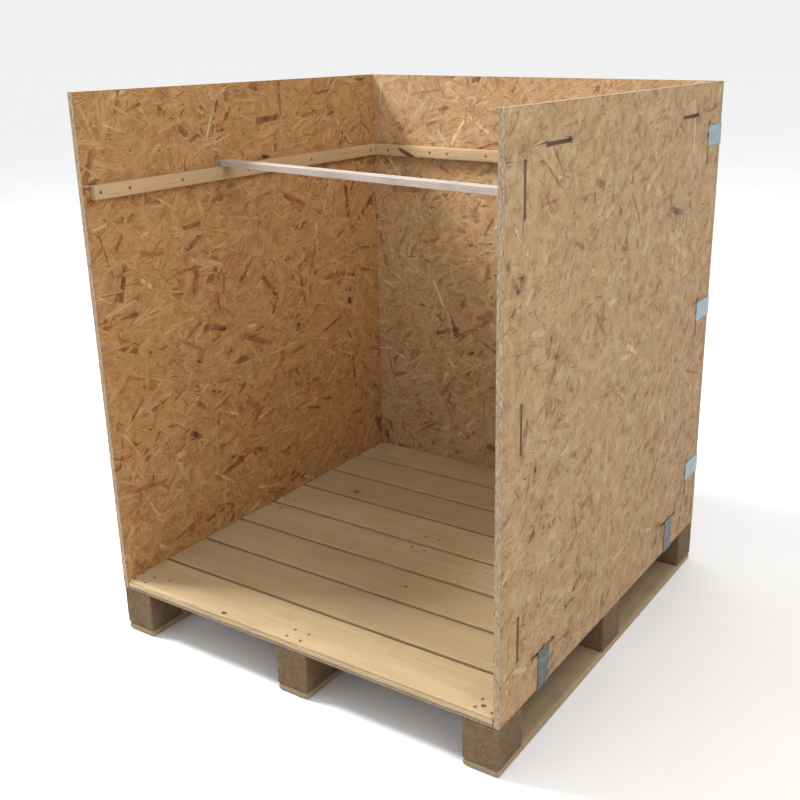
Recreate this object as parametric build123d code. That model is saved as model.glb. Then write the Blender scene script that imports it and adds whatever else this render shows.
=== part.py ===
"""Open shipping crate: a block pallet base with clipped-on OSB walls.

All sizes are in millimetres. Z = 0 is the ground under the runners, X = 0 is the middle of the
width, and the open front faces -Y. The origin is the bottom centre of the whole crate's box.
"""

from build123d import *
import os

# Overall size
width = 1100.0
depth = 1120.0
panel_height = 1220.0
panel_thickness = 15.0

# Pallet base
runner_thickness = 18.0
block_width = 90.0
block_depth = 100.0
block_height = 102.0
block_edge_radius = 3.0
runner_edge_radius = 4.0
underlay_thickness = 6.0
deck_board_thickness = 18.0
deck_board_count = 8
deck_board_width = 130.0
deck_side_gap = 1.0
deck_edge_radius = 2.0

# Dog-bone slots that the clips hook into
slot_length = 108.0
slot_width = 8.5
slot_end_radius = 5.5
slot_depth = 10.0
slot_reach = 88.0
corner_slot_heights = (170.0, 625.0, 1076.0)
base_slot_inset = 188.0
lid_slot_inset = 205.0

# Spring steel corner clips
clip_width = 50.0
clip_thickness = 1.5
clip_lip = 5.0
clip_lip_gap = 1.0
clip_lift_in_slot = 16.0
tongue_width = 10.0
tongue_length = 6.0
tongue_rise = 2.0
tongue_side_gap = 1.0

# Battens
cleat_height = 33.0
cleat_thickness = 18.0
cleat_bottom = 983.0
cleat_front_inset = 19.0
batten_length = 1064.0
batten_width = 34.0
batten_thickness = 16.0
batten_distance_from_front = 390.0
batten_skew = -5.7
batten_edge_radius = 1.0

# Nails
nail_shank_radius = 1.7
nail_head_radius = 4.0
nail_head_height = 1.2
nail_head_stand = 0.3
deck_nail_length = 60.0
runner_nail_length = 60.0
cleat_nail_length = 28.0
nail_recess_radius = 5.0
nail_recess_depth = 1.0
nail_offset = 20.0
deck_nail_rows = (14.0, 44.0, 526.0, 594.0, 1046.0, 1092.0)
side_cleat_nails = (34.0, 119.0, 285.0, 520.0, 780.0, 1060.0)
back_cleat_nails = (-470.0, -318.0, -258.0, -125.0, 160.0, 330.0, 480.0)

# Places worked out from the sizes above
clip_stand = clip_thickness + tongue_rise
front = -(depth + clip_stand) / 2
rear = front + depth
panel_bottom = runner_thickness + block_height
panel_top = panel_bottom + panel_height
inner_side = width / 2 - panel_thickness
inner_rear = rear - panel_thickness
deck_bottom = panel_bottom + underlay_thickness
deck_top = deck_bottom + deck_board_thickness
column_offset = (width - block_width) / 2
columns = {"left": -column_offset, "center": 0.0, "right": column_offset}
rows = {
    "front": front + block_depth / 2,
    "mid": front + depth / 2,
    "rear": rear - block_depth / 2,
}
lip_near = slot_reach + slot_width / 2 - clip_lip_gap - clip_thickness
lip_far = lip_near + clip_thickness


def block(x_low, x_high, y_low, y_high, z_low, z_high):
    """A square-cornered solid between two corners."""
    center = ((x_low + x_high) / 2, (y_low + y_high) / 2, (z_low + z_high) / 2)
    return Pos(*center) * Box(x_high - x_low, y_high - y_low, z_high - z_low)


def slot_cutter():
    """A dog-bone slot along X that cuts slot_depth to each side of Z = 0."""
    half = slot_length / 2 - slot_end_radius
    cutter = Box(2 * half, slot_width, 2 * slot_depth)
    for side in (-1, 1):
        cutter += Pos(side * half, 0, 0) * Cylinder(slot_end_radius, 2 * slot_depth)
    return cutter


def slot_in_side(x, y, z, upright):
    """A slot in a face that looks along X, upright or level."""
    turn = Rot(0, 90, 0) if upright else Rot(0, 90, 0) * Rot(0, 0, 90)
    return Pos(x, y, z) * turn * slot_cutter()


def slot_in_rear(x, z, upright):
    """A slot in the back panel's outer face, upright or level."""
    turn = Rot(90, 0, 0) * Rot(0, 0, 90) if upright else Rot(90, 0, 0)
    return Pos(x, rear, z) * turn * slot_cutter()


def slot_under_deck(x, y, along_y):
    """A slot in the underside of the deck."""
    turn = Rot(0, 0, 90) if along_y else Rot(0, 0, 0)
    return Pos(x, y, panel_bottom) * turn * slot_cutter()


def nail(length):
    """A nail along Z, head up, with the underside of its head at Z = 0."""
    shank = Pos(0, 0, -length / 2) * Cylinder(nail_shank_radius, length)
    head = Pos(0, 0, nail_head_height / 2) * Cylinder(nail_head_radius, nail_head_height)
    return shank + head


def runner(x):
    """A bottom board that runs from front to back under three blocks."""
    half = block_width / 2
    board = block(x - half, x + half, front, rear, 0, runner_thickness)
    bottom_edges = board.edges().group_by(Axis.Z)[0]
    board = fillet(bottom_edges, runner_edge_radius)
    recess = Cylinder(nail_recess_radius, 2 * nail_recess_depth)
    for y in rows.values():
        for side in (-1, 1):
            board -= Pos(x + side * nail_offset, y, 0) * recess
    return board


def spacer_block(x, y):
    """A pressed wood block between a runner and the deck."""
    solid = block(
        x - block_width / 2,
        x + block_width / 2,
        y - block_depth / 2,
        y + block_depth / 2,
        runner_thickness,
        panel_bottom,
    )
    return fillet(solid.edges().filter_by(Axis.Z), block_edge_radius)


def deck_underlay():
    """The thin sheet under the deck boards, with the slots for the lower clip arms."""
    half = inner_side - deck_side_gap
    sheet = block(-half, half, front, inner_rear - deck_side_gap, panel_bottom, deck_bottom)
    for side in (-1, 1):
        across = side * (width / 2 - slot_reach)
        along = side * (width / 2 - base_slot_inset)
        sheet -= slot_under_deck(across, front + base_slot_inset, True)
        sheet -= slot_under_deck(across, inner_rear - base_slot_inset, True)
        sheet -= slot_under_deck(along, front + slot_reach - panel_thickness, False)
        sheet -= slot_under_deck(along, rear - slot_reach, False)
    return sheet


def deck_board(index):
    """One of the boards that run from side to side, counted from the front."""
    half = inner_side - deck_side_gap
    run = inner_rear - deck_side_gap - front - deck_board_width
    y = front + index * run / (deck_board_count - 1)
    board = block(-half, half, y, y + deck_board_width, deck_bottom, deck_top)
    top_edges = board.edges().group_by(Axis.Z)[-1].filter_by(Axis.X)
    return fillet(top_edges, deck_edge_radius)


def side_panel(side):
    """A side wall, with upright slots at both ends and level slots at the base and the lid."""
    outer = side * width / 2
    inner = side * inner_side
    panel = block(min(outer, inner), max(outer, inner), front, inner_rear, panel_bottom, panel_top)
    front_slot = front + slot_reach - panel_thickness
    rear_slot = rear - slot_reach
    for height in corner_slot_heights:
        for y in (front_slot, rear_slot):
            panel -= slot_in_side(outer, y, panel_bottom + height, True)
    for y in (front + base_slot_inset, inner_rear - base_slot_inset):
        panel -= slot_in_side(outer, y, panel_bottom + slot_reach, False)
    for y in (front + lid_slot_inset, inner_rear - lid_slot_inset):
        panel -= slot_in_side(outer, y, panel_top + panel_thickness - slot_reach, False)
    return panel


def back_panel():
    """The rear wall, which covers the rear edges of both side walls."""
    panel = block(-width / 2, width / 2, inner_rear, rear, panel_bottom, panel_top)
    for side in (-1, 1):
        for height in corner_slot_heights:
            panel -= slot_in_rear(side * (width / 2 - slot_reach), panel_bottom + height, True)
        panel -= slot_in_rear(side * (width / 2 - base_slot_inset), panel_bottom + slot_reach, False)
        lid_height = panel_top + panel_thickness - slot_reach
        panel -= slot_in_rear(side * (width / 2 - lid_slot_inset), lid_height, False)
    return panel


def side_cleat(side):
    """The ledge nailed to the inside of a side wall."""
    wall = side * inner_side
    face = side * (inner_side - cleat_thickness)
    low = panel_bottom + cleat_bottom
    return block(
        min(wall, face),
        max(wall, face),
        front + cleat_front_inset,
        inner_rear,
        low,
        low + cleat_height,
    )


def back_cleat():
    """The ledge nailed to the inside of the back wall, between the side ledges."""
    half = inner_side - cleat_thickness
    low = panel_bottom + cleat_bottom
    return block(-half, half, inner_rear - cleat_thickness, inner_rear, low, low + cleat_height)


def cross_batten():
    """The loose bar that rests on the two side ledges, a little out of square."""
    bar = Box(batten_length, batten_width, batten_thickness)
    bar = fillet(bar.edges().filter_by(Axis.X), batten_edge_radius)
    height = panel_bottom + cleat_bottom + cleat_height + batten_thickness / 2
    return Pos(0, front + batten_distance_from_front, height) * Rot(0, 0, batten_skew) * bar


def corner_clip():
    """A clip round a crate corner that fills the quadrant X < 0, Y < 0, with its width along Z.

    The end of the arm along X stays hooked in its slot as the clip opens. The other end has a
    tongue in the middle of its lip, for the tool that pries it out.
    """
    t = clip_thickness
    outline = Polyline(
        (0, 0),
        (-lip_near, 0),
        (-lip_near, -clip_lip),
        (-lip_far, -clip_lip),
        (-lip_far, t),
        (t, t),
        (t, -lip_far),
        (-clip_lip, -lip_far),
        (-clip_lip, -lip_near),
        (0, -lip_near),
        close=True,
    )
    clip = extrude(make_face(outline), amount=clip_width / 2, both=True)
    bends = [edge for edge in clip.edges().filter_by(Axis.Z) if is_outer_bend(edge.center())]
    clip = fillet(bends, t * 0.8)
    notch_half = tongue_width / 2 + tongue_side_gap
    notch = block(-2 * clip_lip, 2 * t, -2 * lip_far, -lip_near, -notch_half, notch_half)
    tongue_end = -lip_far - tongue_length
    tongue = Polyline(
        (0, -lip_near + t),
        (0, -lip_near),
        (tongue_rise, tongue_end),
        (tongue_rise + t, tongue_end),
        (t, -lip_near),
        (t, -lip_near + t),
        close=True,
    )
    return clip - notch + extrude(make_face(tongue), amount=tongue_width / 2, both=True)


def is_outer_bend(point):
    """True at the three places where the outside of the clip's strip is bent."""
    t = clip_thickness
    spots = ((t, t), (-lip_far, t), (t, -lip_far))
    return any(abs(point.X - x) < 0.01 and abs(point.Y - y) < 0.01 for x, y in spots)


def mirrored_clip():
    """The same clip with the pry tongue on the arm along X instead."""
    return mirror(corner_clip(), about=Plane(origin=(0, 0, 0), z_dir=(1, -1, 0)))


def clip_on_rear_corner(side, height):
    """A clip round the upright corner of a side wall and the back wall, hooked in the back wall."""
    place = Pos(side * width / 2, rear, height)
    if side > 0:
        return place * corner_clip()
    return place * Rot(0, 0, 90) * mirrored_clip()


def clip_on_side_base(side, y):
    """A clip round the bottom edge of a side wall, hooked in the underside of the deck."""
    corner = (side * width / 2, y, panel_bottom)
    if side > 0:
        return Plane(origin=corner, x_dir=(1, 0, 0), z_dir=(0, 1, 0)).location * corner_clip()
    return Plane(origin=corner, x_dir=(0, 0, -1), z_dir=(0, 1, 0)).location * mirrored_clip()


def clip_on_rear_base(x):
    """A clip round the bottom edge of the back wall, hooked in the underside of the deck."""
    plane = Plane(origin=(x, rear, panel_bottom), x_dir=(0, 1, 0), z_dir=(-1, 0, 0))
    return plane.location * corner_clip()


def deck_nails():
    """The nails through the deck boards into the blocks."""
    level = deck_top + nail_head_stand - nail_head_height
    places = [(x, y) for y in deck_nail_rows for x in columns.values()]
    return [
        Pos(x + side * nail_offset, front + y, level) * nail(deck_nail_length)
        for x, y in places
        for side in (-1, 1)
    ]


def runner_nails():
    """The nails up through the runners into the blocks, with their heads in shallow recesses."""
    level = nail_recess_depth + nail_head_height
    return [
        Pos(x + side * nail_offset, y, level) * Rot(180, 0, 0) * nail(runner_nail_length)
        for x in columns.values()
        for y in rows.values()
        for side in (-1, 1)
    ]


def cleat_nails():
    """The nails through the three ledges into the walls."""
    height = panel_bottom + cleat_bottom + cleat_height / 2
    sunk = nail_head_height - nail_head_stand
    face = inner_side - cleat_thickness + sunk
    rear_face = inner_rear - cleat_thickness + sunk
    nails = []
    for distance in side_cleat_nails:
        for side in (-1, 1):
            place = Pos(side * face, front + distance, height)
            nails.append(place * Rot(0, -side * 90, 0) * nail(cleat_nail_length))
    for x in back_cleat_nails:
        nails.append(Pos(x, rear_face, height) * Rot(90, 0, 0) * nail(cleat_nail_length))
    return nails


def crate():
    """Every sub-part, by the name of its node."""
    parts = {}
    for column, x in columns.items():
        parts[f"runner_{column}"] = runner(x)
        for row, y in rows.items():
            parts[f"block_{row}_{column}"] = spacer_block(x, y)
    parts["deck_underlay"] = deck_underlay()
    for index in range(deck_board_count):
        parts[f"deck_board_{index + 1}"] = deck_board(index)
    parts["back_panel"] = back_panel()
    parts["cleat_back"] = back_cleat()
    parts["cross_batten"] = cross_batten()
    heights = [panel_bottom + height + clip_lift_in_slot for height in corner_slot_heights]
    for name, side in (("left", -1), ("right", 1)):
        parts[f"side_panel_{name}"] = side_panel(side)
        parts[f"cleat_{name}"] = side_cleat(side)
        for level, height in zip(("low", "mid", "top"), heights):
            parts[f"clip_{name}_rear_{level}"] = clip_on_rear_corner(side, height)
        parts[f"clip_base_{name}_front"] = clip_on_side_base(side, front + base_slot_inset)
        parts[f"clip_base_{name}_rear"] = clip_on_side_base(side, inner_rear - base_slot_inset)
        parts[f"clip_base_back_{name}"] = clip_on_rear_base(side * (width / 2 - base_slot_inset))
    parts["deck_nails"] = Compound(children=deck_nails())
    parts["runner_nails"] = Compound(children=runner_nails())
    parts["cleat_nails"] = Compound(children=cleat_nails())
    return parts


os.makedirs("parts", exist_ok=True)
for node, solid in crate().items():
    export_step(solid, f"parts/{node}.step")
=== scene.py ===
"""Shipping crate: looks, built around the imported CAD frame. All lengths are in metres."""

import bpy
import math
import random
import numpy as np
from mathutils import Matrix, Vector, noise


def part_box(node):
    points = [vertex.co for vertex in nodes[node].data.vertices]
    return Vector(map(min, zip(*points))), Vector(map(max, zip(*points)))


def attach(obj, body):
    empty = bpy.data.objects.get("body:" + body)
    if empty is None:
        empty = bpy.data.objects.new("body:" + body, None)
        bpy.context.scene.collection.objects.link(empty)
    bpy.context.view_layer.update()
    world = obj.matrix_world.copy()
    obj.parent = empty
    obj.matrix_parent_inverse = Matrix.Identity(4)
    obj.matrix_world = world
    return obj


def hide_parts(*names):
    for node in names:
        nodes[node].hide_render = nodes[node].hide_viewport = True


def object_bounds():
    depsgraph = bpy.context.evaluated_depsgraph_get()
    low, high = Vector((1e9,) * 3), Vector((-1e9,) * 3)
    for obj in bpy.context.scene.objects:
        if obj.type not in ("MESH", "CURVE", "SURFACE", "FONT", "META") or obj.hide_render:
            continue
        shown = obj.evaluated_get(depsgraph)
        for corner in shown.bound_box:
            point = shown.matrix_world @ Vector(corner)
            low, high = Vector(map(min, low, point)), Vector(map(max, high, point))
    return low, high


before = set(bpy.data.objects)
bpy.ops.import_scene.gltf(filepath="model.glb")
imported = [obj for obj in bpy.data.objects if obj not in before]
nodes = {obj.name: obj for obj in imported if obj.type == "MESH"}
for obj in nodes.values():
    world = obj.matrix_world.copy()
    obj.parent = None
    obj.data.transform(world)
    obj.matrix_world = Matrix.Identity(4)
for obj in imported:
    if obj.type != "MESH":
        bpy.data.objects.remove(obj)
cad_low, cad_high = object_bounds()

BLOCKS = [name for name in nodes if name.startswith("block_")]
DECK_BOARDS = [name for name in nodes if name.startswith("deck_board_")]
RUNNERS = [name for name in nodes if name.startswith("runner_") and name != "runner_nails"]
CLIPS = [name for name in nodes if name.startswith("clip_")]


# ---------------------------------------------------------------- node helpers


class Nodes:
    """Short calls that add shader nodes to one tree. Inputs are sockets or plain values."""

    def __init__(self, tree):
        self.tree = tree

    def add(self, kind, values=(), **settings):
        """A node with its settings, and its inputs linked or set in order or by name."""
        node = self.tree.nodes.new(kind)
        for name, value in settings.items():
            setattr(node, name, value)
        pairs = values.items() if isinstance(values, dict) else enumerate(values)
        for key, value in pairs:
            self.put(node.inputs[key], value)
        return node

    def put(self, socket, value):
        """Links a socket's value, or sets a plain one."""
        if isinstance(value, bpy.types.NodeSocket):
            self.tree.links.new(value, socket)
        else:
            socket.default_value = value

    def math(self, operation, *values):
        return self.add("ShaderNodeMath", values, operation=operation).outputs[0]

    def vector(self, operation, *values):
        node = self.add("ShaderNodeVectorMath", values, operation=operation)
        return node.outputs["Value" if operation == "LENGTH" else "Vector"]

    def scaled(self, value, factor):
        node = self.add("ShaderNodeVectorMath", [value], operation="SCALE")
        self.put(node.inputs["Scale"], factor)
        return node.outputs["Vector"]

    def split(self, value):
        return self.add("ShaderNodeSeparateXYZ", [value]).outputs

    def join(self, x=0.0, y=0.0, z=0.0):
        return self.add("ShaderNodeCombineXYZ", [x, y, z]).outputs[0]

    def remap(self, value, low, high, to_low=0.0, to_high=1.0, smooth=True):
        """value from low..high to to_low..to_high, clamped."""
        node = self.add("ShaderNodeMapRange", [value, low, high, to_low, to_high])
        node.interpolation_type = "SMOOTHSTEP" if smooth else "LINEAR"
        return node.outputs[0]

    def mix(self, factor, a, b):
        """A blend of two numbers."""
        node = self.add("ShaderNodeMix", data_type="FLOAT")
        for key, value in ((0, factor), (2, a), (3, b)):
            self.put(node.inputs[key], value)
        return node.outputs[0]

    def mix_color(self, factor, a, b, blend="MIX"):
        """A blend of two colors."""
        node = self.add("ShaderNodeMix", data_type="RGBA", blend_type=blend)
        node.clamp_factor = True
        for key, value in ((0, factor), (6, a), (7, b)):
            self.put(node.inputs[key], opaque(value))
        return node.outputs[2]

    def tinted(self, color, tint):
        """A color multiplied by another."""
        return self.mix_color(1.0, color, tint, "MULTIPLY")

    def ramp(self, value, stops):
        """Colors at places from 0 to 1 along a value."""
        node = self.add("ShaderNodeValToRGB", [value])
        ramp = node.color_ramp
        while len(ramp.elements) < len(stops):
            ramp.elements.new(0.5)
        for element, (place, color) in zip(ramp.elements, stops):
            element.position = place
            element.color = opaque(color)
        return node.outputs[0]

    def noise(self, value, scale=1.0, detail=2.0, rough=0.5, warp=0.0, color=False):
        node = self.add("ShaderNodeTexNoise")
        for key, put in (
            ("Vector", value),
            ("Scale", scale),
            ("Detail", detail),
            ("Roughness", rough),
            ("Distortion", warp),
        ):
            self.put(node.inputs[key], put)
        return node.outputs[1 if color else 0]

    def cells(self, value, dimensions="3D"):
        """Voronoi cells one unit wide."""
        node = self.add("ShaderNodeTexVoronoi", voronoi_dimensions=dimensions)
        self.put(node.inputs["Vector"], value)
        self.put(node.inputs["Scale"], 1.0)
        return node.outputs

    def place(self):
        """The point's place in the crate's frame, in metres."""
        return self.add("ShaderNodeTexCoord").outputs["Object"]

    def facing(self):
        """The surface's normal in the crate's frame."""
        return self.add("ShaderNodeTexCoord").outputs["Normal"]


def opaque(value):
    """A color with its alpha, when it was given without."""
    if isinstance(value, (tuple, list)) and len(value) == 3:
        return (*value, 1.0)
    return value


def group(name, inputs, outputs):
    """A new node group: its tree, helper, input sockets and output node."""
    tree = bpy.data.node_groups.new(name, "ShaderNodeTree")
    for label, kind in inputs:
        tree.interface.new_socket(label, in_out="INPUT", socket_type=f"NodeSocket{kind}")
    for label, kind in outputs:
        tree.interface.new_socket(label, in_out="OUTPUT", socket_type=f"NodeSocket{kind}")
    build = Nodes(tree)
    return tree, build, build.add("NodeGroupInput").outputs, build.add("NodeGroupOutput").inputs


def use(build, tree, **values):
    """A use of a node group, with its inputs by name."""
    node = build.add("ShaderNodeGroup", node_tree=tree)
    for key, value in values.items():
        build.put(node.inputs[key], value)
    return node.outputs


def material(name):
    """A new material: itself, its helper and its Principled shader."""
    made = bpy.data.materials.new(name)
    made.use_nodes = True
    shader = made.node_tree.nodes["Principled BSDF"]
    return made, Nodes(made.node_tree), shader


def bump(build, shader, height, distance, strength):
    """Sends a height, from 0 to 1 for distance metres, to the shader's normal."""
    node = build.add("ShaderNodeBump")
    build.put(node.inputs["Height"], height)
    node.inputs["Distance"].default_value = distance
    node.inputs["Strength"].default_value = strength
    build.put(shader.inputs["Normal"], node.outputs[0])


def dress(made, *names):
    """Gives CAD nodes a material in place of their plain one."""
    for name in names:
        slots = nodes[name].data.materials
        slots.clear()
        slots.append(made)


# ---------------------------------------------------------------- strand board

# The clip slots: their depth, how wide the bar is beside the round ends, and the ends' sides here.
SLOT_DEPTH = 0.010
BAR_SHARE = 4.25 / 5.5
ROUND_SIDES = 12
# The shape of a strand: how far the top one stands out of the core, how deep its root goes, and its rim.
STRAND_RELIEF = 0.0006
STRAND_ROOT = 0.0002
STRAND_BEVEL = 0.0009
STRAND_SLANT = 0.6
STRAND_DROP = 0.00008
END_BREAK = 0.006
TRIM = 0.00015
# How strands are laid: the grid that says what is covered, and when a strand still shows.
CELL = 0.004
LEAST_NEW = 0.14
MOST_STRANDS = 9000
SLIVERS = 300
LEAN_SPREAD = math.radians(40.0)
LOOSE_SHARE = 0.25
WIDE_SHARE = 0.4
# Lengths and widths of the kinds of strand.
SLIVER_LENGTH = (0.008, 0.045)
SLIVER_WIDTH = (0.0012, 0.003)
BROWN_LENGTH = (0.05, 0.12)
BROWN_WIDTH = (0.006, 0.018)
TAN_LENGTH = (0.04, 0.125)
WIDE_WIDTH = (0.012, 0.022)
NARROW_WIDTH = (0.004, 0.012)
# Tones run from 0, nearly black, to 1, nearly white.
BROWN = 0.33
PALE = 0.8
BROWN_SHARE = 0.075
PALE_SHARE = 0.04
# Areas too small to keep, and how close two places are the same.
LEAST_AREA = 2e-6
LEAST_CUT = 1e-6
CLOSE = 1e-5


def hexagon(rng, length, width):
    """A strand's outline about its own middle: straight sides and a slanting break at each end."""
    x, y = length / 2, width / 2
    breaks = [min(0.3 * length, 0.001 + rng.expovariate(1 / END_BREAK)) for _ in range(4)]
    tips = [rng.uniform(-0.8, 0.8) * y for _ in range(2)]
    return [
        (-x, tips[0]),
        (-x + breaks[0], -y),
        (x - breaks[1], -y),
        (x, tips[1]),
        (x - breaks[2], y),
        (-x + breaks[3], y),
    ]


def keep_side(points, spot, normal):
    """The part of a convex outline on the side of a line that normal points to."""
    kept = []
    for index, here in enumerate(points):
        before = points[index - 1]
        d_here = (here[0] - spot[0]) * normal[0] + (here[1] - spot[1]) * normal[1]
        d_before = (before[0] - spot[0]) * normal[0] + (before[1] - spot[1]) * normal[1]
        if (d_here >= 0) != (d_before >= 0):
            share = d_before / (d_before - d_here)
            kept.append(tuple(before[k] + share * (here[k] - before[k]) for k in (0, 1)))
        if d_here >= 0:
            kept.append(here)
    return kept


def sides_of(outline):
    """Each side of a counter-clockwise outline, as a point on it and its inward normal."""
    for index, here in enumerate(outline):
        before = outline[index - 1]
        run = (here[0] - before[0], here[1] - before[1])
        yield before, (-run[1], run[0])


def area(points):
    """The area inside an outline."""
    total = sum(p[0] * q[1] - q[0] * p[1] for p, q in zip(points, points[1:] + points[:1]))
    return abs(total) / 2


def clipped(points, outline):
    """The part of a convex outline inside another."""
    for spot, normal in sides_of(outline):
        points = keep_side(points, spot, normal)
        if len(points) < 3:
            return []
    return points


def cut_out(points, outline):
    """The convex pieces of an outline that lie outside another one."""
    pieces = []
    for spot, normal in sides_of(outline):
        outside = keep_side(points, spot, (-normal[0], -normal[1]))
        if len(outside) > 2 and area(outside) > LEAST_CUT:
            pieces.append(outside)
        points = keep_side(points, spot, normal)
        if len(points) < 3:
            break
    return pieces


def turned(points, angle, middle):
    """An outline turned by an angle and moved to its middle."""
    c, s = math.cos(angle), math.sin(angle)
    return [(middle[0] + x * c - y * s, middle[1] + x * s + y * c) for x, y in points]


class Strand:
    """One wood strand on a board's face."""

    def __init__(self, rng, width, height, lean, girth, sliver):
        self.tone = 0.0 if sliver else strand_tone(rng)
        wide = rng.random() < WIDE_SHARE * girth
        if sliver:
            self.length = rng.uniform(*SLIVER_LENGTH)
            self.width = rng.uniform(*SLIVER_WIDTH)
        elif self.tone < BROWN:
            self.length = rng.uniform(*BROWN_LENGTH)
            self.width = rng.uniform(*BROWN_WIDTH)
        else:
            self.length = rng.uniform(*TAN_LENGTH)
            widths = WIDE_WIDTH if wide and self.tone < PALE else NARROW_WIDTH
            self.width = girth * rng.uniform(*widths)
        loose = rng.random() < LOOSE_SHARE
        self.angle = rng.uniform(0, math.pi) if loose else rng.gauss(lean, LEAN_SPREAD)
        self.middle = (rng.uniform(-width / 2, width / 2), rng.uniform(-height / 2, height / 2))
        self.offset = (rng.uniform(0, 9), rng.uniform(0, 9))
        self.outline = hexagon(rng, self.length, self.width)
        self.level = 0


def strand_tone(rng):
    """Mostly middling tan, with a few brown or pale strands."""
    lot = rng.random()
    if lot < BROWN_SHARE:
        return rng.uniform(0.13, BROWN)
    if lot > 1 - PALE_SHARE:
        return rng.uniform(PALE, 0.98)
    return min(0.78, max(0.36, rng.gauss(0.56, 0.075)))


def covered_cells(strand, xs, ys):
    """Which cells of the face's grid a strand covers, as a window and a mask."""
    reach = math.hypot(strand.length, strand.width) / 2
    window = []
    for k, line in ((0, xs), (1, ys)):
        low, high = np.searchsorted(line, (strand.middle[k] - reach, strand.middle[k] + reach))
        window.append(slice(low, high))
    dx = xs[window[0]][:, None] - strand.middle[0]
    dy = ys[window[1]][None, :] - strand.middle[1]
    c, s = math.cos(strand.angle), math.sin(strand.angle)
    along = np.abs(dx * c + dy * s) < strand.length / 2
    across = np.abs(dy * c - dx * s) < max(strand.width / 2, CELL / 2)
    return tuple(window), along & across


def lay_strands(rng, width, height, lean, girth):
    """The strands that show on a face, top first, until they cover it, each with its level."""
    xs = np.arange(-width / 2 + CELL / 2, width / 2, CELL)
    ys = np.arange(-height / 2 + CELL / 2, height / 2, CELL)
    bare = np.ones((len(xs), len(ys)), bool)
    shown = []
    for number in range(MOST_STRANDS):
        sliver = number < SLIVERS
        strand = Strand(rng, width, height, lean, girth, sliver)
        window, mask = covered_cells(strand, xs, ys)
        new = (bare[window] & mask).sum()
        if new > LEAST_NEW * mask.sum() or sliver:
            bare[window] &= ~mask
            shown.append(strand)
    levels = np.zeros_like(bare, int)
    for strand in reversed(shown):
        window, mask = covered_cells(strand, xs, ys)
        under = levels[window][mask]
        strand.level = 1 + (int(under.max()) if under.size else 0)
        levels[window][mask] = strand.level
    return shown


def inset(points, distance):
    """A convex counter-clockwise outline moved inward, and never past its own extent."""
    bounds = [(min(p[k] for p in points), max(p[k] for p in points)) for k in (0, 1)]
    moved = []
    for index, here in enumerate(points):
        before, after = points[index - 1], points[(index + 1) % len(points)]
        normals = []
        for start, end in ((before, here), (here, after)):
            run = (end[0] - start[0], end[1] - start[1])
            length = math.hypot(*run) or 1.0
            normals.append((-run[1] / length, run[0] / length))
        (ax, ay), (bx, by) = normals
        reach = distance / max(0.35, 1 + ax * bx + ay * by)
        spot = (here[0] + reach * (ax + bx), here[1] + reach * (ay + by))
        moved.append(tuple(min(max(spot[k], bounds[k][0]), bounds[k][1]) for k in (0, 1)))
    return moved


def plate(mesh, points, strand, low, high):
    """Adds a strand to the mesh lists as a thin closed plate with slanting sides and soft rims."""
    start = len(mesh["verts"])
    count = len(points)
    around = sum(math.dist(p, q) for p, q in zip(points, points[1:] + points[:1]))
    half_width = area(points) / around
    slant = min(STRAND_SLANT * (high - low), 0.35 * half_width)
    bevel = min(STRAND_BEVEL, 0.3 * half_width)
    rims = inset(points, slant)
    tops = inset(points, slant + bevel)
    # rim is 0 on the sides and rims and 1 on the top. The shader darkens where it is 0 as painted shade
    # of the step, together with resin.
    rings = ((points, low, 0.0), (rims, high - STRAND_DROP, 0.0), (tops, high, 1.0))
    for ring, level, rim in rings:
        for p in ring:
            mesh["verts"].append((p[0], p[1], level))
            mesh["rim"].append(rim)
            mesh["tone"].append(strand.tone)
            mesh["grain"].append(grain_place(strand, p))
    mesh["faces"].append([start + k for k in reversed(range(count))])
    for ring in (0, count):
        for k in range(count):
            step = (k + 1) % count
            corners = (k, step, step + count, k + count)
            mesh["faces"].append([start + ring + c for c in corners])
    mesh["faces"].append([start + 2 * count + k for k in range(count)])


def grain_place(strand, point):
    """Where a point lies along and across its strand, shifted so that no two look the same."""
    dx, dy = point[0] - strand.middle[0], point[1] - strand.middle[1]
    c, s = math.cos(strand.angle), math.sin(strand.angle)
    shift_along, shift_across = strand.offset
    return (dx * c + dy * s + shift_along, dy * c - dx * s + shift_across, shift_along)


def slot_outlines(node, thick_axis, outer, outward, flat_axes, center):
    """The clip slots cut in one face of a board, as convex outlines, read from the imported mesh."""
    mesh = nodes[node].data
    floor = outer - outward * SLOT_DEPTH
    joined = {}
    for edge in mesh.edges:
        ends = [mesh.vertices[index].co for index in edge.vertices]
        if any(abs(end[thick_axis] - floor) > CLOSE for end in ends):
            continue
        # A corner is stored once for each face that meets there, so places stand for corners.
        spots = [[end[axis] - center[k] for k, axis in enumerate(flat_axes)] for end in ends]
        a, b = (tuple(round(number, 5) for number in spot) for spot in spots)
        both = joined.setdefault(a, {a}) | joined.setdefault(b, {b})
        for spot in both:
            joined[spot] = both
    found = []
    for slot in {id(spots): spots for spots in joined.values()}.values():
        found += dog_bone(sorted(slot))
    return found


def dog_bone(points):
    """The convex parts of a slot: its two round ends and the bar between them."""
    spans = [(min(p[k] for p in points), max(p[k] for p in points)) for k in (0, 1)]
    long_axis = 0 if spans[0][1] - spans[0][0] > spans[1][1] - spans[1][0] else 1
    short_axis = 1 - long_axis
    low, high = spans[long_axis]
    middle = sum(spans[short_axis]) / 2
    radius = (spans[short_axis][1] - spans[short_axis][0]) / 2
    half = radius * BAR_SHARE
    ends = (low + radius, high - radius)
    bar = [(ends[0], -half), (ends[1], -half), (ends[1], half), (ends[0], half)]
    parts = [[axis_point(long_axis, a, middle + b) for a, b in bar]]
    for end in ends:
        ring = [math.tau * k / ROUND_SIDES for k in range(ROUND_SIDES)]
        round_end = [(end + radius * math.cos(t), middle + radius * math.sin(t)) for t in ring]
        parts.append([axis_point(long_axis, a, b) for a, b in round_end])
    return [part if long_axis == 0 else part[::-1] for part in parts]


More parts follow.
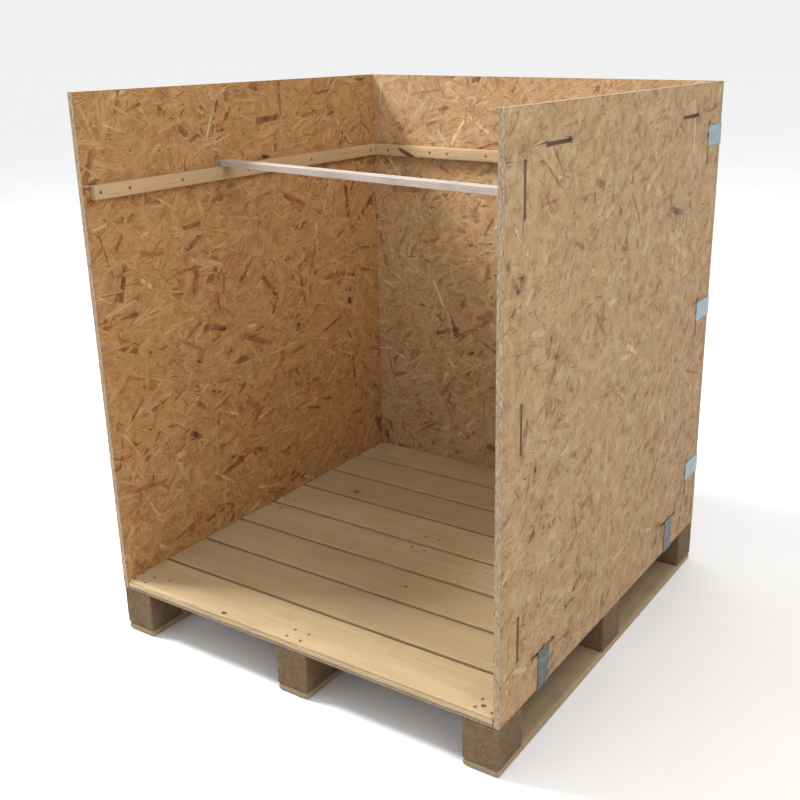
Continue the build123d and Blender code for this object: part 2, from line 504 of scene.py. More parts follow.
def axis_point(long_axis, along, across):
    """A point of the face, from its places along and across a slot."""
    return (along, across) if long_axis == 0 else (across, along)


def strand_skin(node, thick_axis, outward, lean, girth, seed):
    """The strands on one face of a board, as one mesh object."""
    rng = random.Random(seed)
    low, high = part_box(node)
    flat_axes = [a for a in range(3) if a != thick_axis]
    width, height = (high[a] - low[a] for a in flat_axes)
    center = [(high[a] + low[a]) / 2 for a in flat_axes]
    outer = high[thick_axis] if outward > 0 else low[thick_axis]
    slots = slot_outlines(node, thick_axis, outer, outward, flat_axes, center)
    x, y = width / 2 - TRIM, height / 2 - TRIM
    board = [(-x, -y), (x, -y), (x, y), (-x, y)]
    mesh = {"verts": [], "faces": [], "rim": [], "tone": [], "grain": []}
    strands = lay_strands(rng, width, height, math.radians(lean), girth)
    top_level = max(strand.level for strand in strands)
    for strand in strands:
        shape = turned(strand.outline, strand.angle, strand.middle)
        pieces = [clipped(shape, board)]
        for slot in slots:
            pieces = [part for piece in pieces for part in keep_or_cut(piece, slot)]
        rise = STRAND_RELIEF * (strand.level / top_level)
        for piece in pieces:
            if len(piece) > 2 and area(piece) > LEAST_AREA:
                plate(mesh, piece, strand, -STRAND_ROOT, rise)
    return skin_object(node, mesh, thick_axis, outward, flat_axes, center, outer)


def keep_or_cut(piece, slot):
    """The piece as it is, or what is left of it round a slot that it crosses."""
    if len(piece) < 3:
        return []
    for k in (0, 1):
        if max(p[k] for p in piece) < min(p[k] for p in slot):
            return [piece]
        if min(p[k] for p in piece) > max(p[k] for p in slot):
            return [piece]
    return cut_out(piece, slot)


def skin_object(node, parts, thick_axis, outward, flat_axes, center, outer):
    """Turns the mesh lists into an object on the board's face."""
    base = outer - outward * STRAND_RELIEF
    verts = []
    for a, b, lift in parts["verts"]:
        point = [0.0, 0.0, 0.0]
        point[flat_axes[0]] = a + center[0]
        point[flat_axes[1]] = b + center[1]
        point[thick_axis] = base + outward * lift
        verts.append(point)
    mesh = bpy.data.meshes.new("strands")
    # The face's own axes make a left-handed set for Y and for the faces that look the other way.
    handed = outward * (-1 if thick_axis == 1 else 1)
    faces = parts["faces"] if handed > 0 else [face[::-1] for face in parts["faces"]]
    mesh.from_pydata(verts, [], faces)
    for label in ("rim", "tone"):
        layer = mesh.attributes.new(label, "FLOAT", "POINT")
        layer.data.foreach_set("value", parts[label])
    layer = mesh.attributes.new("grain", "FLOAT_VECTOR", "POINT")
    layer.data.foreach_set("vector", [v for p in parts["grain"] for v in p])
    side = "outer" if (outward > 0) == (center_sign(node, thick_axis) > 0) else "inner"
    made = bpy.data.objects.new(f"{node}_{side}_strands", mesh)
    bpy.context.scene.collection.objects.link(made)
    return made


def center_sign(node, axis):
    """1 for a board on the high side of the crate along an axis, and -1 on the low side."""
    low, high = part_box(node)
    return 1 if low[axis] + high[axis] > 0 else -1


def board_core(node, thick_axis):
    """The middle of a board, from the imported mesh, set back from the strands on both faces."""
    mesh = nodes[node].data.copy()
    low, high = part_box(node)
    for vertex in mesh.vertices:
        for face, back in ((low[thick_axis], STRAND_RELIEF), (high[thick_axis], -STRAND_RELIEF)):
            if abs(vertex.co[thick_axis] - face) < CLOSE:
                vertex.co[thick_axis] += back
    core = bpy.data.objects.new(f"{node}_core", mesh)
    bpy.context.scene.collection.objects.link(core)
    return core


# Colors of strands by tone, of a cut edge by its stripes, and of the chips between strands.
STRAND_WOOD = [
    (0.0, (0.070, 0.036, 0.018)),
    (0.09, (0.235, 0.105, 0.050)),
    (0.25, (0.335, 0.160, 0.075)),
    (0.42, (0.430, 0.250, 0.112)),
    (0.60, (0.480, 0.300, 0.140)),
    (0.80, (0.530, 0.355, 0.180)),
    (1.0, (0.61, 0.455, 0.26)),
]
CUT_WOOD = [
    (0.34, (0.070, 0.040, 0.024)),
    (0.42, (0.235, 0.155, 0.095)),
    (0.52, (0.335, 0.245, 0.160)),
    (0.70, (0.48, 0.38, 0.265)),
]
FINES_WOOD = [(0.35, (0.235, 0.130, 0.062)), (0.6, (0.43, 0.270, 0.130))]
SPECK_BROWN = (0.13, 0.066, 0.030)
# Painted shade inside the clip slots.
SLOT_SHADE_BROWN = (0.27, 0.175, 0.120)
COOL_PATCH = (0.985, 1.012, 1.0)
WARM_PATCH = (1.025, 0.965, 0.94)
MIDDLE_TONE = 0.52
SOFT_LIGHT = 0.95


def strand_material(name, tint, contrast, mottle, soft):
    """Wood strands: each has its tone, its grain along it, and a dark line where its edge lies, painted
    shade of the edge's step together with resin.

    contrast is how far tones spread, mottle how strong the cloudy patches are, and soft, from 0 to
    1, how faint the grain and the edge lines are."""
    made, n, shader = material(name)
    tone = n.add("ShaderNodeAttribute", attribute_name="tone").outputs["Fac"]
    rim = n.add("ShaderNodeAttribute", attribute_name="rim").outputs["Fac"]
    grain = n.add("ShaderNodeAttribute", attribute_name="grain").outputs["Vector"]
    place = n.place()
    wobble = n.noise(n.vector("MULTIPLY", grain, (25.0, 60.0, 1.0)), detail=2.0)
    bent = n.vector("ADD", grain, n.join(0.0, n.math("MULTIPLY", wobble, 0.012)))
    fibre = n.noise(n.vector("MULTIPLY", bent, (35.0, 850.0, 1.0)), detail=3.0, rough=0.62)
    streak = n.noise(n.vector("MULTIPLY", bent, (10.0, 190.0, 1.0)), detail=2.0)
    patch = n.noise(n.scaled(place, 32.0), detail=4.0, rough=0.62)
    cloud = n.remap(patch, 0.3, 0.7, -0.21 * mottle, 0.19 * mottle, smooth=False)
    shade = n.math("ADD", tone, cloud)
    shade = n.mix(contrast, MIDDLE_TONE, shade)
    color = n.ramp(shade, STRAND_WOOD)
    lines = n.remap(fibre, 0.3, 0.72, 1.10, 0.82)
    light = n.math("MULTIPLY", lines, n.remap(streak, 0.35, 0.7, 1.08, 0.82))
    # Painted shade of each strand's edge step, together with resin: darker where rim is 0.
    light = n.math("MULTIPLY", light, n.remap(rim, 0.0, 0.85, 0.72, 1.0))
    light = n.mix(soft, light, SOFT_LIGHT)
    color = n.tinted(color, n.join(light, light, light))
    fines = n.remap(n.noise(n.scaled(place, 330.0), detail=2.0), 0.62, 0.72)
    color = n.mix_color(n.math("MULTIPLY", fines, 0.4), color, SPECK_BROWN)
    warm = n.remap(n.noise(n.scaled(place, 9.0), detail=3.0, rough=0.55), 0.35, 0.68)
    color = n.tinted(color, n.mix_color(warm, COOL_PATCH, WARM_PATCH))
    # Painted light and shade: each kind of face tints the same board its own way. Darker golden paints
    # the shade inside, cooler paints the shaded outside, and paler paints the key light on the back.
    color = n.tinted(color, tint)
    n.put(shader.inputs["Base Color"], color)
    n.put(shader.inputs["Roughness"], n.remap(n.math("ADD", tone, fibre), 0.5, 1.5, 0.58, 0.84))
    shader.inputs["Specular IOR Level"].default_value = 0.28
    relief = n.math("SUBTRACT", n.math("SUBTRACT", 1.0, fibre), n.math("MULTIPLY", fines, 0.5))
    bump(n, shader, relief, 0.0006, 0.6)
    return made


def core_material(node, thick_axis, painted_light_tints):
    """The middle of a board: striped cut edges, fine chips under the strands, and dark slots of painted
    shade.
    """
    made, n, shader = material(f"{node}_core")
    place = n.place()
    axes = n.split(place)
    flat_axes = [a for a in range(3) if a != thick_axis]
    stretch = [95.0, 95.0, 95.0]
    stretch[thick_axis] = 700.0
    stripes = n.noise(n.vector("MULTIPLY", place, tuple(stretch)), detail=5.0, rough=0.7, warp=0.4)
    cut = n.ramp(stripes, CUT_WOOD)
    fines = n.noise(n.scaled(place, 260.0), detail=4.0, rough=0.7)
    along = n.split(n.facing())[thick_axis]
    # The chips under the strands take their face's painted light and shade tint.
    tint = n.mix_color(n.math("GREATER_THAN", along, 0.0), painted_light_tints[0], painted_light_tints[1])
    face = n.tinted(n.ramp(fines, FINES_WOOD), tint)
    color = n.mix_color(n.math("GREATER_THAN", n.math("ABSOLUTE", along), 0.5), cut, face)
    # Painted shade: the slot walls and floors take one dark brown in place of the cut stripes.
    color = n.mix_color(routed(n, axes, flat_axes, thick_axis, node), color, SLOT_SHADE_BROWN)
    n.put(shader.inputs["Base Color"], color)
    n.put(shader.inputs["Roughness"], n.remap(stripes, 0.3, 0.7, 0.9, 0.75))
    shader.inputs["Specular IOR Level"].default_value = 0.2
    bump(n, shader, stripes, 0.0015, 0.8)
    return made


def routed(n, axes, flat_axes, thick_axis, node):
    """1 inside the clip slots of a board, whose walls and floors are painted darker than its faces as the
    slots' shade.
    """
    low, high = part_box(node)
    skin = 0.0009
    rim = 0.004
    depth = axes[thick_axis]
    above = n.math("GREATER_THAN", depth, low[thick_axis] + skin)
    inside = n.math("MULTIPLY", above, n.math("LESS_THAN", depth, high[thick_axis] - skin))
    for axis in flat_axes:
        inside = n.math("MULTIPLY", inside, n.math("GREATER_THAN", axes[axis], low[axis] + rim))
        inside = n.math("MULTIPLY", inside, n.math("LESS_THAN", axes[axis], high[axis] - rim))
    return inside


def strand_wall(node, thick_axis, leans, faces, seed):
    """One wall of the crate: a core and the strands on its low and high faces."""
    core = board_core(node, thick_axis)
    core.data.materials.clear()
    painted_light_tints = [face["look"]["tint"] for face in faces]
    core.data.materials.append(core_material(node, thick_axis, painted_light_tints))
    pieces = [core]
    for index, outward in enumerate((-1, 1)):
        face = faces[index]
        skin = strand_skin(node, thick_axis, outward, leans[index], face["girth"], seed + index)
        name = skin.name.replace("_strands", "")
        skin.data.materials.append(strand_material(name, **face["look"]))
        pieces.append(skin)
    for piece in pieces:
        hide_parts(node)
        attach(piece, "crate")


# The three kinds of face. girth makes strands wider and wide strands more common.
# tint is painted light and shade on one board. Darker golden paints the shade inside the crate, cooler
# paints the sky-lit shade outside, and paler and cooler paints the key light on the back wall.
INNER_LOOK_WITH_PAINTED_SHADE = {"tint": (0.82, 0.755, 0.64), "contrast": 1.0, "mottle": 1.0, "soft": 0.0}
OUTER_LOOK_WITH_PAINTED_SHADE = {"tint": (0.74, 0.78, 0.87), "contrast": 0.80, "mottle": 1.6, "soft": 0.4}
BACK_LOOK_WITH_PAINTED_LIGHT = {"tint": (0.85, 0.86, 0.91), "contrast": 0.95, "mottle": 1.0, "soft": 0.0}
INNER = {"girth": 1.0, "look": INNER_LOOK_WITH_PAINTED_SHADE}
OUTER = {"girth": 1.3, "look": OUTER_LOOK_WITH_PAINTED_SHADE}
BACK = {"girth": 1.0, "look": BACK_LOOK_WITH_PAINTED_LIGHT}
# Each wall: the axis of its thickness, and its low and high faces' leans in degrees and kinds.
strand_wall("side_panel_left", 0, (75.0, 12.0), (OUTER, INNER), 11)
strand_wall("side_panel_right", 0, (12.0, 23.0), (INNER, OUTER), 21)
strand_wall("back_panel", 1, (28.0, 80.0), (BACK, OUTER), 31)


# ---------------------------------------------------------------- worn solids


def spaced(low, high, radius, step, extra=()):
    """Grid lines from low to high, close together at the rounded edges."""
    inner = high - low - 2 * radius
    count = max(1, round(inner / step))
    lines = [low, low + 0.35 * radius, high - 0.35 * radius, high, *extra]
    return sorted(lines + [low + radius + inner * k / count for k in range(count + 1)])


def lattice(lines):
    """A closed box on three sets of grid lines, as vertices and outward faces."""
    verts, faces, index = [], [], {}

    def corner(key):
        if key not in index:
            index[key] = len(verts)
            verts.append([lines[axis][key[axis]] for axis in range(3)])
        return index[key]

    for axis in range(3):
        u, v = (axis + 1) % 3, (axis + 2) % 3
        for end in (0, len(lines[axis]) - 1):
            for i in range(len(lines[u]) - 1):
                for j in range(len(lines[v]) - 1):
                    quad = []
                    for di, dj in ((0, 0), (1, 0), (1, 1), (0, 1)):
                        key = [end, end, end]
                        key[u] = i + di
                        key[v] = j + dj
                        quad.append(corner(tuple(key)))
                    faces.append(quad if end else quad[::-1])
    return verts, faces


def worn(node, radius, steps, depth, chips, seed, extra=((), (), ()), carve=None):
    """A CAD box as a finer mesh with soft edges, a slightly uneven surface and chipped arrises.

    steps and extra are the grid's step and added lines on each axis, depth and chips how far the
    faces and the arrises are worn down, and carve a last change to each point."""
    low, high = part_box(node)
    lines = [spaced(low[a], high[a], radius, steps[a], extra[a]) for a in range(3)]
    verts, faces = lattice(lines)
    shift = Vector((seed, 2.3 * seed, -seed))
    for index, point in enumerate(verts):
        core = Vector([min(max(point[a], low[a] + radius), high[a] - radius) for a in range(3)])
        out = (Vector(point) - core).normalized()
        place = core + out * radius
        edge = 1.0 - max(abs(c) for c in out)
        rough = noise.fractal(place * 45.0 + shift, 1.0, 2.0, 3)
        bite = max(0.0, noise.noise(place * 60.0 - shift) - 0.05)
        place -= out * (depth * min(1.0, max(0.0, 0.5 + 0.5 * rough)) + chips * edge * bite)
        verts[index] = carve(place, out, low, high) if carve else place
    mesh = bpy.data.meshes.new(f"{node}_worn")
    mesh.from_pydata(verts, [], faces)
    mesh.polygons.foreach_set("use_smooth", [True] * len(faces))
    made = bpy.data.objects.new(f"{node}_worn", mesh)
    bpy.context.scene.collection.objects.link(made)
    return made


def put_on(piece, node, finish):
    """Dresses a piece and lets it stand for a node of the crate."""
    piece.data.materials.append(finish)
    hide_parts(node)
    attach(piece, "crate")


# ---------------------------------------------------------------- sawn pine


def pine_group():
    """Pine with its grain along X: rings cut lengthwise, fibres and a few knots."""
    tree, n, get, out = group(
        "pine",
        [("Place", "Vector"), ("Seed", "Float"), ("Ring", "Float"), ("Knots", "Float")],
        [("Ring", "Float"), ("Fibre", "Float"), ("Knot", "Float"), ("Rim", "Float"), ("Blotch", "Float")],
    )
    place = n.vector("ADD", get["Place"], n.join(get["Seed"], 0.0, 0.0))
    x, y, z = n.split(place)
    spots = n.vector("MULTIPLY", n.join(x, y), (3.2, 9.0, 0.0))
    knot_cells = n.cells(spots, "2D")
    off = n.vector("SUBTRACT", spots, knot_cells["Position"])
    off = n.vector("MULTIPLY", off, (0.3125, 0.111, 0.0))
    away = n.vector("LENGTH", n.vector("MULTIPLY", off, (0.75, 1.0, 0.0)))
    chance = n.split(knot_cells["Color"])
    has = n.math("LESS_THAN", chance[0], get["Knots"])
    size = n.remap(chance[1], 0.0, 1.0, 0.003, 0.010)
    near = n.math("DIVIDE", away, size)
    knot = n.math("MULTIPLY", n.remap(near, 0.75, 1.05, 1.0, 0.0), has)
    rim = n.math("MULTIPLY", n.remap(near, 1.0, 2.4, 1.0, 0.0), has)
    push = n.math("MULTIPLY", n.math("MULTIPLY", n.remap(near, 0.4, 5.0, 1.0, 0.0), has), 0.012)
    drift = n.noise(n.vector("MULTIPLY", place, (2.2, 7.0, 7.0)), detail=2.0, color=True)
    drift = n.scaled(n.vector("SUBTRACT", drift, (0.5, 0.5, 0.5)), 0.035)
    drift_across, drift_deep = n.split(drift)[1:3]
    # The rings' middle lies off the board, to one side of it and below it.
    across = n.math("ADD", n.math("ADD", y, drift_across), 0.045)
    deep = n.math("ADD", n.math("ADD", z, drift_deep), 0.03)
    radius = n.vector("LENGTH", n.join(across, deep, 0.0))
    radius = n.math("ADD", radius, push)
    bands = n.math("DIVIDE", radius, get["Ring"])
    uneven = n.math("MULTIPLY", n.noise(n.join(bands), 0.7), 1.4)
    wave = n.math("FRACT", n.math("ADD", bands, uneven))
    ring = n.math("MULTIPLY", n.remap(wave, 0.35, 0.9), n.remap(wave, 0.93, 1.0, 1.0, 0.0))
    fibre = n.noise(n.vector("MULTIPLY", place, (7.0, 330.0, 330.0)), detail=3.0, rough=0.6)
    blotch = n.noise(n.vector("MULTIPLY", place, (3.0, 14.0, 14.0)), detail=3.0)
    made = {"Ring": ring, "Fibre": fibre, "Knot": knot, "Rim": rim, "Blotch": blotch}
    for label, value in made.items():
        n.put(out[label], value)
    return tree


PINE = pine_group()
KNOT_BROWN = (0.085, 0.036, 0.016)
MARK_BROWN = (0.06, 0.028, 0.014)
GRIME_BROWN = (0.16, 0.115, 0.075)


def shaded(color, share):
    """A color made darker or lighter."""
    return tuple(c * share for c in color)


def dark_mark(n, place, middle, size, lean):
    """1 inside a ragged oval of these half sizes in the frame's axes, turned about Y by lean."""
    ragged = n.vector("SUBTRACT", n.noise(n.scaled(place, 160.0), color=True), (0.5, 0.5, 0.5))
    ragged = n.scaled(ragged, 0.006)
    off = n.vector("ADD", n.vector("SUBTRACT", place, middle), ragged)
    node = n.add("ShaderNodeVectorRotate", [off], rotation_type="Y_AXIS")
    node.inputs["Angle"].default_value = lean
    reach = n.vector("LENGTH", n.vector("DIVIDE", node.outputs[0], size))
    return n.remap(reach, 0.75, 1.25, 0.92, 0.0)


def pine(name, along, seed, light, dark, knots=0.16, ring=0.0042, grime=0.15, rough=0.62, marks=()):
    """Sawn or planed pine. along is the frame axis of the grain, and marks are its own dark knots."""
    made, n, shader = material(name)
    place = n.place()
    axes = n.split(place)
    grainwise = n.join(axes[along], axes[1 - along], axes[2])
    wood = use(n, PINE, Place=grainwise, Seed=seed, Ring=ring, Knots=knots)
    color = n.mix_color(n.math("MULTIPLY", wood["Ring"], 0.8), light, dark)
    color = n.mix_color(n.remap(wood["Fibre"], 0.35, 0.7, 0.0, 0.28), color, shaded(dark, 0.62))
    color = n.mix_color(n.remap(wood["Blotch"], 0.4, 0.7, 0.0, 0.35), color, shaded(light, 1.12))
    color = n.mix_color(n.math("MULTIPLY", wood["Rim"], 0.5), color, shaded(dark, 0.55))
    color = n.mix_color(wood["Knot"], color, KNOT_BROWN)
    for middle, size, lean in marks:
        color = n.mix_color(dark_mark(n, place, middle, size, lean), color, MARK_BROWN)
    stain = n.remap(n.noise(n.scaled(place, 9.0), detail=4.0, rough=0.6), 0.45, 0.75, 0.0, grime)
    color = n.mix_color(stain, color, GRIME_BROWN)
    across_end = n.math("GREATER_THAN", n.math("ABSOLUTE", n.split(n.facing())[along]), 0.7)
    color = n.mix_color(n.math("MULTIPLY", across_end, 0.45), color, shaded(dark, 0.6))
    n.put(shader.inputs["Base Color"], color)
    n.put(shader.inputs["Roughness"], n.remap(wood["Ring"], 0.0, 1.0, rough + 0.1, rough - 0.04))
    shader.inputs["Specular IOR Level"].default_value = 0.3
    relief = n.math("ADD", n.math("MULTIPLY", wood["Fibre"], 0.7), n.math("MULTIPLY", wood["Ring"], 0.3))
    bump(n, shader, relief, 0.0006, 0.55)
    return made


DECK_LIGHT = (0.43, 0.322, 0.182)
DECK_DARK = (0.325, 0.202, 0.098)
# The front board's edge: the saw line's depth below its top, its width and how far it is cut in,
# and how far the bark was sawn off at the left end.
SAW_LINE = 0.0042
SAW_WIDTH = 0.0009
SAW_CUT = 0.0016
WANE_LEAST = 0.0018
WANE_MOST = 0.010
WANE_FROM = -0.12
WANE_RUN = 0.4


def waney(place, out, low, high):
    """The front deck board: its top arris is cut back at the left end, over a saw line."""
    top = high.z - place.z
    back = place.y - low.y
    share = min(1.0, max(0.0, (WANE_FROM - place.x) / WANE_RUN))
    wave = 0.5 + 0.5 * noise.noise(Vector((place.x * 9.0, 4.0, 0.0)))
    wane = WANE_LEAST + WANE_MOST * share * share * (0.55 + 0.45 * wave)
    cut = wane - top - back
    if cut > 0.0:
        place = place + Vector((0.0, 0.5 * cut, -0.5 * cut))
    if out.y < -0.9:
        line = math.exp(-(((top - SAW_LINE - 0.3 * wane) / SAW_WIDTH) ** 2))
        place = place + Vector((0.0, SAW_CUT * line, 0.0))
    return place


def deck():
    """The deck boards, the front one with its own knots and waney edge."""
    first = "deck_board_1"
    low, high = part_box(first)
    top = high.z
    knots = (
        ((-0.213, low.y + 0.011, top), (0.0075, 0.0055, 0.03), 0.0),
        ((0.498, low.y + 0.026, top), (0.006, 0.0045, 0.03), 0.0),
        ((-0.44, low.y + 0.052, top), (0.004, 0.003, 0.03), 0.0),
    )
    drops = (-0.2, -0.1, 0.0, 0.06, 0.12, 0.2, 0.3, 0.45)
    rows = tuple(top - SAW_LINE - WANE_MOST * drop for drop in drops)
    columns = tuple(low.y + 0.001 * k for k in (3, 5, 7, 9))
    own = {"extra": ((), columns, rows), "carve": waney}
    steps = (0.012, 0.008, 0.006)
    for index, name in enumerate(sorted(DECK_BOARDS)):
        light = shaded(DECK_LIGHT, 1.0 - 0.05 * (index * 3 % 4))
        marks = knots if name == first else ()
        finish = pine(name, 0, 1.7 * index, light, DECK_DARK, marks=marks)
        changes = own if name == first else {}
        board = worn(name, 0.002, steps, 0.00035, 0.003, 3.1 * index, **changes)
        put_on(board, name, finish)


RUNNER_LIGHT = (0.30, 0.220, 0.128)
RUNNER_DARK = (0.262, 0.187, 0.106)
RUNNER_WEAR = {"ring": 0.011, "grime": 0.45, "rough": 0.72}

deck()
for index, name in enumerate(sorted(RUNNERS)):
    finish = pine(name, 1, 11.0 + index, RUNNER_LIGHT, RUNNER_DARK, **RUNNER_WEAR)
    runner = worn(name, 0.007, (0.008, 0.012, 0.006), 0.0006, 0.006, 7.0 + index)
    put_on(runner, name, finish)

CLEAT_LIGHT = (0.455, 0.320, 0.182)
CLEAT_DARK = (0.35, 0.205, 0.095)
# The bark's middle, half sizes and lean.
BARK_MARK = ((-0.399, 0.525, 1.1115), (0.037, 0.03, 0.0065), -0.42)


def cleats():
    """The ledges inside the walls. The back one has a strip of bark near its left end."""
    for index, name in enumerate(("cleat_back", "cleat_left", "cleat_right")):
        along = 0 if name == "cleat_back" else 1
        marks = (BARK_MARK,) if name == "cleat_back" else ()
        finish = pine(name, along, 21.0 + 2 * index, CLEAT_LIGHT, CLEAT_DARK, knots=0.12, marks=marks)
        steps = (0.012, 0.007, 0.007) if along == 0 else (0.007, 0.012, 0.007)
        cleat = worn(name, 0.0012, steps, 0.0003, 0.003, 41.0 + index)
        put_on(cleat, name, finish)


BATTEN_LIGHT = (0.40, 0.335, 0.295)
BATTEN_DARK = (0.30, 0.23, 0.19)

cleats()
batten_finish = pine("cross_batten", 0, 31.0, BATTEN_LIGHT, BATTEN_DARK, knots=0.08, grime=0.3)
dress(batten_finish, "cross_batten")


# ---------------------------------------------------------------- pressed chips and fibre


CHIP_WOOD = [
    (0.12, (0.046, 0.026, 0.012)),
    (0.35, (0.100, 0.060, 0.029)),
    (0.6, (0.146, 0.092, 0.046)),
    (0.9, (0.23, 0.154, 0.082)),
]
CHIP_SPECK = (0.05, 0.03, 0.02)
CHIP_BLOOM = (0.158, 0.106, 0.064)
SHEET_WOOD = [
    (0.3, (0.10, 0.066, 0.042)),
    (0.6, (0.25, 0.18, 0.12)),
    (0.8, (0.36, 0.27, 0.19)),
]


def chip_block(name, seed):
    """Pressed wood chips: flat chips of many browns, with dark specks and a grey bloom."""
    made, n, shader = material(name)
    place = n.vector("ADD", n.place(), (seed, 0.0, 0.0))
    warp = n.scaled(n.noise(n.scaled(place, 180.0), detail=2.0, color=True), 0.003)
    place = n.vector("ADD", place, warp)
    coarse = n.cells(n.vector("MULTIPLY", place, (300.0, 300.0, 480.0)))
    fine = n.cells(n.vector("MULTIPLY", place, (700.0, 700.0, 1100.0)))
    lot = n.mix(0.5, n.split(coarse["Color"])[0], n.split(fine["Color"])[1])
    cloud = n.noise(n.scaled(place, 60.0), detail=3.0)
    tone = n.mix(0.45, lot, cloud)
    color = n.ramp(tone, CHIP_WOOD)
    speck = n.remap(n.noise(n.scaled(place, 900.0), detail=1.0), 0.62, 0.72)
    color = n.mix_color(n.math("MULTIPLY", speck, 0.6), color, CHIP_SPECK)
    bloom = n.remap(n.noise(n.scaled(place, 22.0), detail=3.0), 0.4, 0.7, 0.0, 0.3)
    color = n.mix_color(bloom, color, CHIP_BLOOM)
    n.put(shader.inputs["Base Color"], color)
    n.put(shader.inputs["Roughness"], n.remap(tone, 0.0, 1.0, 0.92, 0.74))
    shader.inputs["Specular IOR Level"].default_value = 0.2
    relief = n.mix(0.5, coarse["Distance"], fine["Distance"])
    relief = n.math("SUBTRACT", relief, n.math("MULTIPLY", speck, 0.5))
    bump(n, shader, relief, 0.0007, 0.55)
    return made


for index, name in enumerate(sorted(BLOCKS)):
    block = worn(name, 0.003, (0.005, 0.005, 0.005), 0.0007, 0.012, 13.0 + 3.7 * index)
    put_on(block, name, chip_block(name, 0.9 * index))


def fibre_sheet():
    """Thin pressed fibre sheet."""
    made, n, shader = material("deck_underlay")
    place = n.place()
    fibre = n.noise(n.vector("MULTIPLY", place, (60.0, 60.0, 900.0)), detail=4.0, rough=0.7)
    mottle = n.noise(n.scaled(place, 300.0), detail=3.0)
    n.put(shader.inputs["Base Color"], n.ramp(n.mix(0.5, fibre, mottle), SHEET_WOOD))
    n.put(shader.inputs["Roughness"], n.remap(fibre, 0.3, 0.7, 0.7, 0.9))
    bump(n, shader, fibre, 0.0006, 0.6)
    return made


dress(fibre_sheet(), "deck_underlay")


# ---------------------------------------------------------------- steel


def galvanised(name, seed, shades):
    """Zinc-coated spring steel with faint spangles, scuffs and dull patches, from dark to light."""
    made, n, shader = material(name)
    place = n.vector("ADD", n.place(), (seed, 0.0, 0.0))
    spangle = n.cells(n.scaled(place, 130.0))
    facet = n.split(spangle["Color"])[0]
    cloud = n.noise(n.scaled(place, 35.0), detail=4.0, rough=0.6)
    scuff = n.remap(n.noise(n.vector("MULTIPLY", place, (90.0, 900.0, 900.0)), detail=2.0), 0.6, 0.72)
    color = n.ramp(n.mix(0.6, facet, cloud), list(zip((0.25, 0.5, 0.75), shades)))
    color = n.mix_color(n.remap(cloud, 0.52, 0.7, 0.0, 0.6), color, shaded(shades[0], 0.75))
    n.put(shader.inputs["Base Color"], color)
    shader.inputs["Metallic"].default_value = 0.8
    n.put(shader.inputs["Roughness"], n.mix(scuff, n.remap(facet, 0.0, 1.0, 0.38, 0.52), 0.3))
    bump(n, shader, n.math("ADD", scuff, n.math("MULTIPLY", cloud, 0.6)), 0.0003, 0.5)
    return made


BLUE_ZINC = ((0.23, 0.30, 0.32), (0.29, 0.37, 0.395), (0.36, 0.445, 0.465))
DARKER_ZINC = ((0.085, 0.09, 0.082), (0.14, 0.148, 0.137), (0.24, 0.25, 0.24))
# The base clips get a darker zinc than the wall clips.
for index, name in enumerate(sorted(CLIPS)):
    dress(galvanised(name, 0.7 * index, DARKER_ZINC if "base" in name else BLUE_ZINC), name)


NAIL_SHADES = [
    (0.35, (0.10, 0.055, 0.032)),
    (0.55, (0.19, 0.125, 0.085)),
    (0.75, (0.30, 0.24, 0.19)),
]


def nail_steel():
    """Dull nail heads in patches of dark and pale brown."""
    made, n, shader = material("nail_steel")
    cloud = n.noise(n.scaled(n.place(), 700.0), detail=3.0)
    n.put(shader.inputs["Base Color"], n.ramp(cloud, NAIL_SHADES))
    shader.inputs["Metallic"].default_value = 0.35
    n.put(shader.inputs["Roughness"], n.remap(cloud, 0.3, 0.7, 0.75, 0.45))
    bump(n, shader, cloud, 0.0002, 0.5)
    return made


dress(nail_steel(), "deck_nails", "runner_nails", "cleat_nails")


# ---------------------------------------------------------------- floor, light and camera


FLOOR_SHADE = 0.80
FLOOR_SPREAD = 0.01
FLOOR_HALF = 40.0
SKY_TOP = 1.20


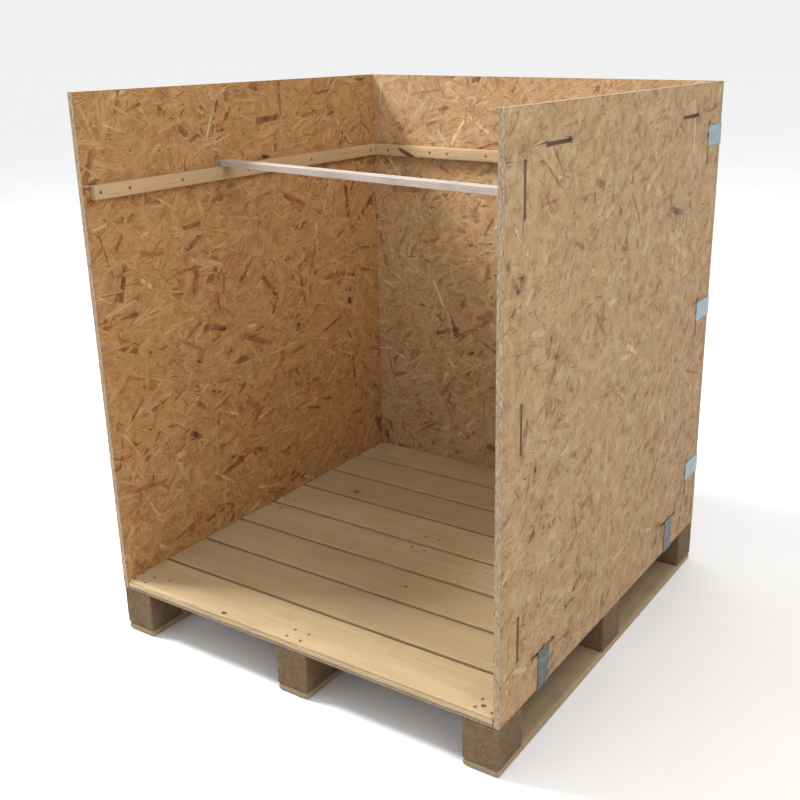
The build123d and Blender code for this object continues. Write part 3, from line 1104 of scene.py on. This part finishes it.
def stage():
    """A pale floor that meets a pale backdrop of the same brightness, and soft studio light."""
    mesh = bpy.data.meshes.new("floor")
    turns = ((-1, -1), (1, -1), (1, 1), (-1, 1))
    corners = [(x * FLOOR_HALF, y * FLOOR_HALF, 0) for x, y in turns]
    mesh.from_pydata(corners, [], [(0, 1, 2, 3)])
    floor = bpy.data.objects.new("floor", mesh)
    bpy.context.scene.collection.objects.link(floor)
    made, n, shader = material("floor")
    cloud = n.noise(n.scaled(n.place(), 3.0), detail=3.0)
    shade = n.remap(cloud, 0.3, 0.7, FLOOR_SHADE - FLOOR_SPREAD, FLOOR_SHADE + FLOOR_SPREAD)
    n.put(shader.inputs["Base Color"], n.join(shade, shade, shade))
    shader.inputs["Roughness"].default_value = 0.9
    mesh.materials.append(made)

    world = bpy.data.worlds.new("studio")
    world.use_nodes = True
    n = Nodes(world.node_tree)
    # A sky that rises evenly from this level at the horizon lights the floor to that same level.
    level = SKY_TOP * (2 * FLOOR_SHADE / 3) / (1 - FLOOR_SHADE / 3)
    height = n.split(n.add("ShaderNodeTexCoord").outputs["Generated"])[2]
    bright = n.remap(height, 0.0, 1.0, level, SKY_TOP, smooth=False)
    background = world.node_tree.nodes["Background"]
    n.put(background.inputs["Color"], n.join(bright, bright, bright))
    background.inputs["Strength"].default_value = 1.0
    bpy.context.scene.world = world
    lamp("key", (-3.0, -1.1, 4.8), (0.0, 0.54, 1.2), 1.1, 420.0, (0.94, 0.975, 1.0))
    lamp("side", (2.4, -0.9, 3.2), (0.5, 0.0, 1.0), 1.5, 42.0, (1.0, 0.98, 0.95))


def lamp(name, place, target, size, power, color):
    """A square lamp of this size, pointed at a target."""
    data = bpy.data.lights.new(name, "AREA")
    data.size = size
    data.energy = power
    data.color = color
    light = bpy.data.objects.new(name, data)
    light.location = place
    light.rotation_euler = (Vector(target) - Vector(place)).to_track_quat("-Z", "Y").to_euler()
    bpy.context.scene.collection.objects.link(light)


# The photo's view: how far the camera is turned, tilted and rolled, in degrees, its place in crate
# widths, and its lens.
YAW = 32.30
PITCH = 18.24
ROLL = -0.342
EYE_IN_WIDTHS = (1.2893, -1.9176, 1.3257)
CRATE_WIDTH = 1.1
SENSOR = 36.0
LENS = 46.87
SHIFT = (-0.0638, -0.0299)


def camera():
    """A camera at the height of a standing person, off the front right corner of the crate."""
    yaw, pitch, roll = (math.radians(a) for a in (YAW, PITCH, ROLL))
    level = math.cos(pitch)
    ahead = Vector((-math.sin(yaw) * level, math.cos(yaw) * level, -math.sin(pitch)))
    right = Vector((math.cos(yaw), math.sin(yaw), 0.0))
    up = right.cross(ahead)
    level_right = right * math.cos(roll) + up * math.sin(roll)
    level_up = up * math.cos(roll) - right * math.sin(roll)
    data = bpy.data.cameras.new("camera")
    data.sensor_width = SENSOR
    data.lens = LENS
    data.shift_x, data.shift_y = SHIFT
    eye = bpy.data.objects.new("camera", data)
    turn = Matrix((level_right, level_up, -ahead)).transposed().to_4x4()
    middle = (cad_low.y + cad_high.y) / 2
    spot = Vector(EYE_IN_WIDTHS) * CRATE_WIDTH + Vector((0.0, middle, 0.0))
    eye.matrix_world = Matrix.Translation(spot) @ turn
    bpy.context.scene.collection.objects.link(eye)
    bpy.context.scene.camera = eye


stage()
camera()
bpy.context.scene.view_settings.view_transform = "Standard"
